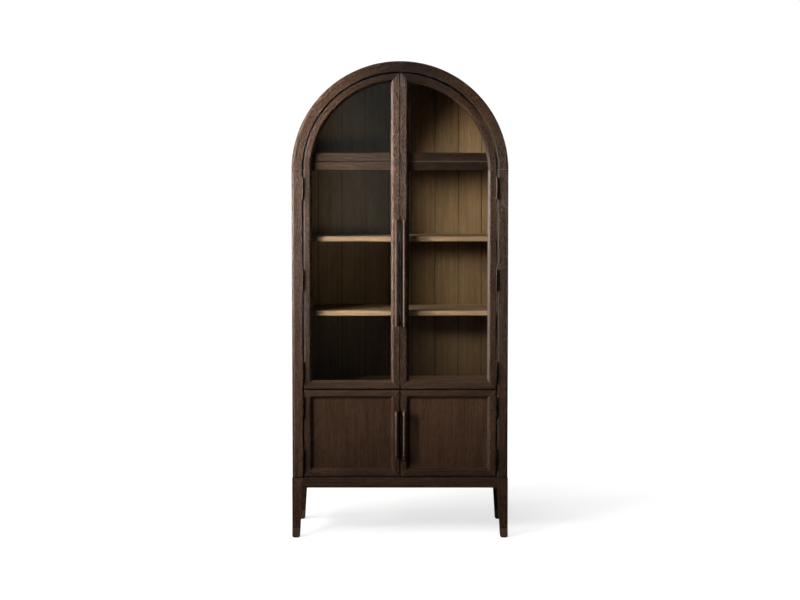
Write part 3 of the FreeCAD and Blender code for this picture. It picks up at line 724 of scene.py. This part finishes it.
# ---- small metal modelled here -------------------------------------------------------
def lathe(mesh, profile, matrix, turns=40):
    """Add a turned solid: profile is (radius, distance along the axis) in millimetres from end to end."""
    rings = []
    for radius, along in profile:
        if radius == 0:
            rings.append([mesh.verts.new(matrix @ Vector((0, 0, along * MM)))])
            continue
        ring = []
        for step in range(turns):
            angle = 2 * math.pi * step / turns
            spot = Vector((radius * math.cos(angle), radius * math.sin(angle), along)) * MM
            ring.append(mesh.verts.new(matrix @ spot))
        rings.append(ring)
    for low, high in zip(rings, rings[1:]):
        for step in range(turns):
            after = (step + 1) % turns
            corners = [low[step % len(low)], low[after % len(low)]]
            corners += [high[after % len(high)], high[step % len(high)]]
            mesh.faces.new(list(dict.fromkeys(corners)))


SHARP_ANGLE = 38.0


def add_piece(name, mesh, material, body):
    """Make the object, shade it smooth but for its sharp edges, and let it ride on its body."""
    bmesh.ops.recalc_face_normals(mesh, faces=mesh.faces)
    data = bpy.data.meshes.new(name)
    mesh.to_mesh(data)
    mesh.free()
    data.shade_smooth()
    data.set_sharp_from_angle(angle=math.radians(SHARP_ANGLE))
    data.materials.append(material)
    piece = bpy.data.objects.new(name, data)
    bpy.context.scene.collection.objects.link(piece)
    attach(piece, body)
    return piece


# Turned profiles of a pull, radius and distance along the axis in millimetres.
CAP = [(0, 0), (5.6, 0), (7.4, 0.25), (8.6, 0.9), (9.1, 1.9), (9.2, 3.0), (9.2, 5.4), (8.75, 5.7),
       (8.75, 6.3), (9.2, 6.6), (9.2, 20.2), (9.5, 20.6), (9.9, 20.9), (10.0, 21.3), (10.0, 23.2),
       (9.8, 23.7), (9.3, 24.0), (7.9, 24.0), (7.5, 24.4)]
POST = [(0, -0.3), (9.0, -0.3), (9.0, 1.3), (8.7, 2.0), (7.6, 2.6), (6.3, 3.2), (5.7, 4.4), (5.5, 6.0),
        (5.5, 20.0), (5.9, 22.0), (6.8, 23.6), (0, 24.5)]
BAR_RADIUS = 10 * MM
END_INSET = 12 * MM          # from an end of the bar to the axis of its post


def make_pull(node, body, metal):
    """Bar pull with capped ends on turned posts; it stands in for the plain CAD one."""
    low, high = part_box(node)
    middle_x = (low.x + high.x) / 2
    bar_y = low.y + BAR_RADIUS
    length = (high.z - low.z) / MM
    profile = CAP + [(7.5, length * t) for t in (0.2, 0.4, 0.6, 0.8)]
    profile += [(radius, length - along) for radius, along in reversed(CAP)]
    mesh = bmesh.new()
    lathe(mesh, profile, Matrix.Translation((middle_x, bar_y, low.z)), 48)
    for end in (low.z + END_INSET, high.z - END_INSET):
        foot = Matrix.Translation((middle_x, FACE_Y, end)) @ Matrix.Rotation(math.pi / 2, 4, "X")
        lathe(mesh, POST, foot)
    piece = add_piece(f"{body}_pull", mesh, metal, body)
    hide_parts(node)


def round_plate(mesh, width, height, thick, corner, matrix, steps=6):
    """Add a plate with round corners, its back on z = 0 of matrix; sizes in millimetres."""
    outline = []
    for quarter, (sx, sy) in enumerate(((1, 1), (-1, 1), (-1, -1), (1, -1))):
        for step in range(steps + 1):
            angle = math.pi / 2 * (quarter + step / steps)
            x = sx * (width / 2 - corner) + corner * math.cos(angle)
            y = sy * (height / 2 - corner) + corner * math.sin(angle)
            outline.append((x, y))
    edge = min(thick * 0.3, 0.3)
    layers = [(0, 0), (0, thick - edge), (edge, thick)]
    rings = []
    for inset, z in layers:
        ring = []
        for x, y in outline:
            shrink = Vector((x * (1 - 2 * inset / width), y * (1 - 2 * inset / height), z)) * MM
            ring.append(mesh.verts.new(matrix @ shrink))
        rings.append(ring)
    count = len(outline)
    for low, high in zip(rings, rings[1:]):
        for step in range(count):
            mesh.faces.new([low[step], low[(step + 1) % count], high[(step + 1) % count], high[step]])
    mesh.faces.new(rings[0][::-1])
    mesh.faces.new(rings[-1])


def screw_head(mesh, matrix, radius, rise=0.35):
    """Add a shallow domed head with a round recess, standing on z = 0 of matrix; sizes in millimetres."""
    lathe(mesh, [(radius, 0), (radius, rise * 0.4), (radius * 0.86, rise * 0.85), (radius * 0.5, rise),
                 (radius * 0.42, rise * 0.3), (0, rise * 0.1)], matrix, 20)


CATCH_X = 23.5 * MM          # middle of a catch, off the middle of the cabinet
CATCH_HALF = 6 * MM
STRIKE = (34, 9, 1.2, 2.0)   # width, height, thickness and corner radius in millimetres
STRIKE_FACE = 1.15 * MM      # where its screws stand, a hair below its face
STRIKE_SCREW_X = 11 * MM
STRIKE_SCREW_RADIUS = 2.2


def strike_plates(body, side, levels, metal):
    """Small plates on the back of a door where the magnetic catches take it."""
    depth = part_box("upper_right_meeting_stile")[1].y
    mesh = bmesh.new()
    for z in levels:
        spot = Matrix.Translation((side * CATCH_X, depth, z)) @ Matrix.Rotation(-math.pi / 2, 4, "X")
        round_plate(mesh, *STRIKE, spot)
        for shift in (-STRIKE_SCREW_X, STRIKE_SCREW_X):
            screw_head(mesh, spot @ Matrix.Translation((shift, 0, STRIKE_FACE)), STRIKE_SCREW_RADIUS)
    add_piece(f"{body}_strikes", mesh, metal, body)


def small_metal(pull_metal, nickel):
    deck_low, deck_high = (v.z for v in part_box("middle_deck"))
    levels = {
        "upper": (SPRING_Z - CATCH_HALF, deck_high + CATCH_HALF),
        "lower": (deck_low - CATCH_HALF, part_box("case_bottom")[1].z + CATCH_HALF),
    }
    for level, heights in levels.items():
        for side_name, side in (("left", -1), ("right", 1)):
            body = f"{level}_{side_name}_door"
            make_pull(f"{level}_{side_name}_pull", body, pull_metal)
            strike_plates(body, side, heights, nickel)


# ---- studio --------------------------------------------------------------------------
ROOM = 9.0                   # half the side of the floor
BACKDROP_STRENGTH = 1.05
FILL_STRENGTH = 0.030
REFLECTED_STRENGTH = 0.020
FLOOR_GLOW = 0.72
FLOOR_GREY = (0.8, 0.8, 0.8, 1)
FLOOR_LIGHT_FROM = (-1.15, -1.2, 2.6)
FLOOR_LIGHT_ANGLE = 50.0
FLOOR_LIGHT_STRENGTH = 1.5

# The reflected card: where it stands, and the heights and widths over which its glow fades.
CARD_BEHIND_CAMERA = 0.5
CARD_X = (-2.0, 1.0)
CARD_Z = (0.4, 4.2)
CARD_COLOUR = (0.92, 0.98, 0.92, 1)
CARD_GLOW = 0.21
CARD_FADE_Z = (1.08, 1.40)
CARD_FADE_LEFT = (-0.95, -0.55)
CARD_FADE_RIGHT = (-0.12, 0.17)

# The flag between the key light and the front: edge of its shadow, distance, size and what it lets through.
FLAG_EDGE_X = 0.05
FLAG_REACH = 0.67
FLAG_WIDTH = 1.4
FLAG_Z = (0.1, 4.0)
FLAG_PASS = 0.85

KEY_PLACE = (-3.98, FACE_Y - 2.45, 3.05)
KEY_SIZE = (1.3, 2.3)
KEY_COLOUR = (1.0, 0.975, 0.94)
LAMP_COLOUR = (1.0, 0.98, 0.96)
FRONT_COLOUR = (1.0, 0.98, 0.95)
FILL_PLACE = (3.6, FACE_Y - 2.6, 1.35)
FILL_TARGET = (-0.36, BACK_BOARD_Y, 1.72)
FILL_COLOUR = (1.0, 1.0, 0.95)
REAR_TARGET = (0, 0, 1.2)
REAR_SIZE = (1.2, 1.8)

# Name, place, target, size, power in watts, colour, spread in degrees, and the group of objects it falls on.
LAMPS = (
    ("side", (-3.9, FACE_Y - 0.75, 1.9), (-0.2, FACE_Y, 1.6), (0.5, 2.2), 10.0, LAMP_COLOUR, 70.0, "not metal"),
    ("key", KEY_PLACE, (-0.35, FACE_Y, 2.12), KEY_SIZE, 29.0, KEY_COLOUR, 28.0, "outside"),
    ("rear", (-3.0, 3.2, 2.6), REAR_TARGET, REAR_SIZE, 36.0, LAMP_COLOUR, 180.0, "cabinet"),
    ("rear", (3.5, 2.3, 2.5), REAR_TARGET, REAR_SIZE, 84.0, LAMP_COLOUR, 180.0, "cabinet"),
    ("front", (-2.7, FACE_Y - 3.3, 3.4), (0, FACE_Y, 1.3), (0.7, 0.7), 52.0, FRONT_COLOUR, 180.0, "outside"),
    ("inner_key", KEY_PLACE, (-0.35, FACE_Y, 2.55), KEY_SIZE, 29.0, KEY_COLOUR, 25.0, "boards"),
    ("inner_fill", FILL_PLACE, FILL_TARGET, (0.8, 0.5), 0.64, FILL_COLOUR, 20.0, "boards"),
    ("metal", (-0.45, FACE_Y - 1.6, 1.35), (0, FACE_Y, 1.35), (0.9, 1.6), 46.0, (1, 1, 1), 180.0, "metal"),
)


def flat_card(name, corners, visible):
    """A flat sheet of the studio that only the kinds of ray named in visible can see."""
    mesh = bpy.data.meshes.new(name)
    mesh.from_pydata(corners, [], [(0, 1, 2, 3)])
    card = bpy.data.objects.new(name, mesh)
    bpy.context.scene.collection.objects.link(card)
    for ray in ("camera", "diffuse", "glossy", "transmission", "shadow"):
        setattr(card, f"visible_{ray}", ray in visible)
    return card


def make_floor():
    """White floor that glows towards the camera, with a soft sun of its own for the shadow."""
    corners = [(-ROOM, -ROOM, 0), (ROOM, -ROOM, 0), (ROOM, ROOM, 0), (-ROOM, ROOM, 0)]
    floor = flat_card("floor", corners, ("camera", "transmission"))
    shader = Shader("floor")
    glow = shader.add("ShaderNodeEmission")
    glow.inputs["Color"].default_value = WHITE
    glow.inputs["Strength"].default_value = FLOOR_GLOW
    matt = shader.add("ShaderNodeBsdfDiffuse")
    matt.inputs["Color"].default_value = FLOOR_GREY
    both = shader.add("ShaderNodeAddShader")
    shader.feed(both.inputs[0], glow.outputs[0])
    shader.feed(both.inputs[1], matt.outputs[0])
    shader.tree.links.new(both.outputs[0], shader.out.inputs["Surface"])
    floor.data.materials.append(shader.material)
    only_floor = bpy.data.collections.new("floor_only")
    only_floor.objects.link(floor)
    data = bpy.data.lights.new("floor_light", "SUN")
    data.energy = FLOOR_LIGHT_STRENGTH
    data.angle = math.radians(FLOOR_LIGHT_ANGLE)
    light = bpy.data.objects.new("floor_light", data)
    light.location = FLOOR_LIGHT_FROM
    look_at(light, (0, 0, 0))
    bpy.context.scene.collection.objects.link(light)
    light.light_linking.receiver_collection = only_floor


def make_reflected_card():
    """The dim, soft-edged thing that the left-hand door mirrors, from behind the camera."""
    y = FACE_Y - CAMERA_DISTANCE - CARD_BEHIND_CAMERA
    (left, right), (low, high) = CARD_X, CARD_Z
    corners = [(left, y, low), (right, y, low), (right, y, high), (left, y, high)]
    card = flat_card("reflected_card", corners, ("glossy",))
    shader = Shader("reflected_card")
    x, _, z = shader.split(shader.place)
    rise = shader.span(z, *CARD_FADE_Z)
    from_left = shader.span(x, *CARD_FADE_LEFT)
    to_right = shader.span(x, *CARD_FADE_RIGHT, 1.0, 0.0)
    glow = shader.add("ShaderNodeEmission")
    glow.inputs["Color"].default_value = CARD_COLOUR
    level = shader.math("MULTIPLY", shader.math("MULTIPLY", rise, from_left), to_right)
    shader.feed(glow.inputs["Strength"], shader.math("MULTIPLY", level, CARD_GLOW))
    shader.tree.links.new(glow.outputs[0], shader.out.inputs["Surface"])
    card.data.materials.append(shader.material)


def make_flag():
    """A card that keeps part of the key light off the right-hand side of the front."""
    reach = Vector((KEY_PLACE[0] - FLAG_EDGE_X, KEY_PLACE[1] - FACE_Y, 0)).normalized()
    across = Vector((-reach.y, reach.x, 0))
    if across.x < 0:
        across = -across
    near = Vector((FLAG_EDGE_X, FACE_Y, 0)) + reach * FLAG_REACH
    far = near + across * FLAG_WIDTH
    low, high = FLAG_Z
    corners = [(near.x, near.y, low), (far.x, far.y, low), (far.x, far.y, high), (near.x, near.y, high)]
    card = flat_card("flag", corners, ("shadow",))
    shader = Shader("flag")
    thin = shader.add("ShaderNodeBsdfTransparent")
    thin.inputs[0].default_value = (FLAG_PASS, FLAG_PASS, FLAG_PASS, 1)
    shader.tree.links.new(thin.outputs[0], shader.out.inputs["Surface"])
    card.data.materials.append(shader.material)


def make_world():
    """White behind the object; a dim white as the light from all round, dimmer still in reflections."""
    world = bpy.data.worlds.new("studio")
    bpy.context.scene.world = world
    world.use_nodes = True
    tree = world.node_tree
    tree.nodes.clear()
    path = tree.nodes.new("ShaderNodeLightPath")
    shades = []
    for strength in (FILL_STRENGTH, REFLECTED_STRENGTH, BACKDROP_STRENGTH):
        shade = tree.nodes.new("ShaderNodeBackground")
        shade.inputs["Color"].default_value = WHITE
        shade.inputs["Strength"].default_value = strength
        shades.append(shade.outputs[0])
    result = shades[0]
    for ray, shade in (("Is Glossy Ray", shades[1]), ("Is Camera Ray", shades[2])):
        mix = tree.nodes.new("ShaderNodeMixShader")
        tree.links.new(path.outputs[ray], mix.inputs[0])
        tree.links.new(result, mix.inputs[1])
        tree.links.new(shade, mix.inputs[2])
        result = mix.outputs[0]
    out = tree.nodes.new("ShaderNodeOutputWorld")
    tree.links.new(result, out.inputs["Surface"])


def light_set():
    """Put up the lamps, each falling on its own group of objects."""
    boards = [NODES[node] for node in NODES if node.startswith(("back_boards", "side_panel", "roof_arch"))]
    others = [item for item in bpy.context.scene.objects if item.type == "MESH" and item not in boards]
    metal = [item for item in others if item.name.endswith("_pull")]
    outside = [item for item in others if item not in metal]
    studio = ("floor", "flag", "reflected")
    groups = {
        "boards": boards, "metal": metal, "outside": outside, "not metal": outside + boards,
        "cabinet": [item for item in others + boards if not item.name.startswith(studio)],
    }
    for *lamp, group in LAMPS:
        light = area_light(*lamp)
        receivers = bpy.data.collections.new(f"{light.name}_only")
        for item in groups[group]:
            receivers.objects.link(item)
        light.light_linking.receiver_collection = receivers


make_camera()
make_floor()
make_world()
make_reflected_card()
make_flag()
bpy.context.scene.view_settings.view_transform = "Standard"

dress_wood()
dress_rest()
light_set()
